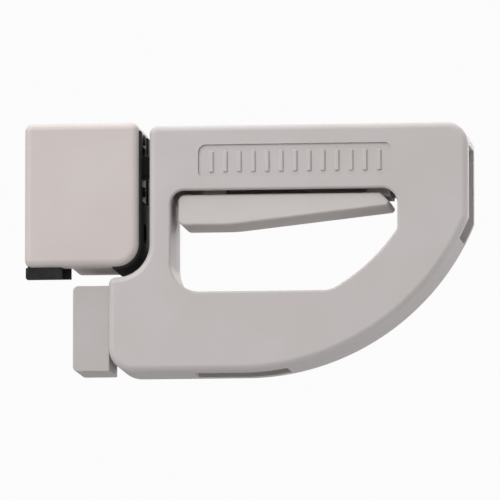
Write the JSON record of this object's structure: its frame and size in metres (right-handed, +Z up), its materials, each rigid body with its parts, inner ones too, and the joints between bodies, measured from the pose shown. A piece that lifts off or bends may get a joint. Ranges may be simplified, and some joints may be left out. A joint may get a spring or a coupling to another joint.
{
  "type": "stair gate latch",
  "caption": "Stair gate latch: rail-mounted catch and corner handle with finger opening, squeeze trigger and sliding spring bolt.",
  "frame": {"origin": "middle of the catch's mounting face, on the gate side of the rail it is screwed to", "axes": "+X from the rail towards the gate, +Z up, +Y from the front to the back of the gate"},
  "size_m": [0.1689, 0.032, 0.0952],
  "materials": {
    "cover_plastic": "satin, fine moulded texture",
    "handle_plastic": "satin, fine moulded texture",
    "block_plastic": "satin, fine moulded texture",
    "trigger_plastic": "satin",
    "guide_plastic": "satin nylon",
    "bush_plastic": "natural acetal",
    "black_rubber": "matt",
    "black_steel": "black phosphated",
    "zinc_steel": "zinc plated",
    "pin_steel": "ground and plated",
    "spring_steel": "drawn wire"
  },
  "bodies": {
    "catch": {"catch_body": "cover_plastic", "catch_cover": "cover_plastic", "rail_pad": "black_rubber", "strike_plate": "black_steel", "strike_screws": "black_steel", "cover_screws": "zinc_steel", "buffer_strip": "black_rubber"},
    "handle": {"handle_front": "handle_plastic", "handle_rear": "handle_plastic", "guide_block": "block_plastic", "block_screws": "zinc_steel", "shell_screws": "zinc_steel", "bolt_guide": "guide_plastic", "guide_screws": "zinc_steel", "trigger_pin": "pin_steel", "bolt_spring": "spring_steel", "spring_washer": "zinc_steel"},
    "trigger": {"trigger": "trigger_plastic", "trigger_bushes": "bush_plastic"},
    "bolt": {"bolt": "black_steel", "bolt_pin": "pin_steel", "pin_clips": "spring_steel", "stop_clip": "spring_steel"}
  },
  "joints": [
    {"name": "gate_lift", "type": "slide", "parent": "catch", "child": "handle", "axis": [0, 0, 1], "range_m": [0, 0.003]},
    {"name": "trigger_squeeze", "type": "hinge", "parent": "handle", "child": "trigger", "pos_m": [0.119, 0, 0.007], "axis": [0, 1, 0], "range_deg": [0, 5.44]},
    {"name": "bolt_slide", "type": "slide", "parent": "handle", "child": "bolt", "axis": [1, 0, 0], "range_m": [0, 0.0066], "stiffness_N_per_m": 260, "springref_m": -0.006, "deforming": ["bolt_spring"]}
  ],
  "couplings": [
    {"joint": "bolt_slide", "follows": "trigger_squeeze", "m_per_rad": 0.0693}
  ]
}
